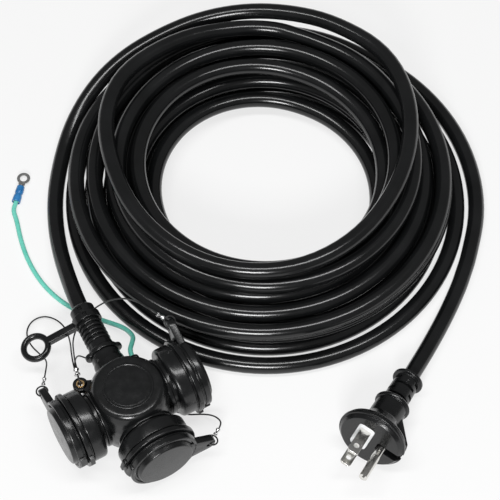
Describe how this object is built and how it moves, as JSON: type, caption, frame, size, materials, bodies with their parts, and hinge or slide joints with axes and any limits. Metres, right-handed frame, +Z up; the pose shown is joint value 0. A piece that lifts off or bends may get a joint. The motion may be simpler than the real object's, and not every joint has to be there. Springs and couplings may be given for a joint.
{
  "type": "outdoor extension cord",
  "caption": "Coiled outdoor extension cord with a rainproof capped outlet tap, hanging ring, earth lead and a plug with a folding earth pin.",
  "frame": {"origin": "on the surface that the tap lies on, under the middle of the tap's footprint", "axes": "+Z up; the tap lies with its cord arm towards -X+Y (116.5 degrees from +X), its outlets at 29.5, 209.5 and 299.5 degrees; the coil lies towards +Y and the plug towards +X"},
  "size_m": [0.2778, 0.3128, 0.0494],
  "materials": {
    "black_rubber": "satin, black",
    "gasket_rubber": "matt, black",
    "black_plastic": "matt, black",
    "brass": "plain",
    "wire": "dark, coated",
    "crimp": "bright",
    "core_black": "satin",
    "core_white": "satin",
    "core_green": "satin",
    "green_wire": "satin, pale green",
    "blue_sleeve": "satin, blue",
    "tinned_metal": "tinned",
    "cord_sheath": "satin, black",
    "pale_insert": "matt, white",
    "nickel": "nickel plated",
    "steel_pin": "bright"
  },
  "bodies": {
    "tap": {"tap_body": "black_rubber", "medallion": "black_rubber", "hub_block": "black_plastic", "line_bus": "brass", "neutral_bus": "brass", "earth_bus": "brass", "strain_relief": "black_rubber", "hanging_ring": "black_rubber", "tether_eyelet": "brass", "eyelet_loop": "wire", "eyelet_crimp": "crimp", "tap_line_core": "core_black", "tap_neutral_core": "core_white", "tap_earth_core": "core_green", "earth_wire": "green_wire", "terminal_sleeve": "blue_sleeve", "ring_terminal": "tinned_metal", "cord_tap_lead": "cord_sheath", "cord_coil": "cord_sheath", "cord_plug_lead": "cord_sheath", "plug_body": "black_rubber", "plug_face_insert": "pale_insert", "line_blade": "nickel", "neutral_blade": "nickel", "earth_pin_hinge": "steel_pin", "earth_pin_stop": "steel_pin", "earth_strip": "brass", "plug_line_core": "core_black", "plug_neutral_core": "core_white", "plug_earth_core": "core_green", "left_insert": "black_plastic", "left_tether": "wire", "front_insert": "black_plastic", "front_tether": "wire", "right_insert": "black_plastic", "right_tether": "wire", "left_line_contact": "brass", "left_neutral_contact": "brass", "left_earth_contact": "brass", "front_line_contact": "brass", "front_neutral_contact": "brass", "front_earth_contact": "brass", "right_line_contact": "brass", "right_neutral_contact": "brass", "right_earth_contact": "brass"},
    "left_cap_body": {"left_cap": "black_rubber", "left_gasket": "gasket_rubber", "left_tether_loop": "wire", "left_tether_crimp": "crimp"},
    "front_cap_body": {"front_cap": "black_rubber", "front_gasket": "gasket_rubber", "front_tether_loop": "wire", "front_tether_crimp": "crimp"},
    "right_cap_body": {"right_cap": "black_rubber", "right_gasket": "gasket_rubber", "right_tether_loop": "wire", "right_tether_crimp": "crimp"},
    "earth_pin_body": {"earth_pin": "nickel"}
  },
  "joints": [
    {"name": "left_cap_off", "type": "slide", "parent": "tap", "child": "left_cap_body", "axis": [-0.8704, -0.4924, 0], "range_m": [0, 0.03]},
    {"name": "front_cap_off", "type": "slide", "parent": "tap", "child": "front_cap_body", "axis": [0.4924, -0.8704, 0], "range_m": [0, 0.03]},
    {"name": "right_cap_off", "type": "slide", "parent": "tap", "child": "right_cap_body", "axis": [0.8704, 0.4924, 0], "range_m": [0, 0.005]},
    {"name": "earth_pin_fold", "type": "hinge", "parent": "tap", "child": "earth_pin_body", "pos_m": [0.14363, -0.03156, 0.01761], "axis": [0.2802, 0.0781, 0.9568], "range_deg": [0, 90]}
  ]
}
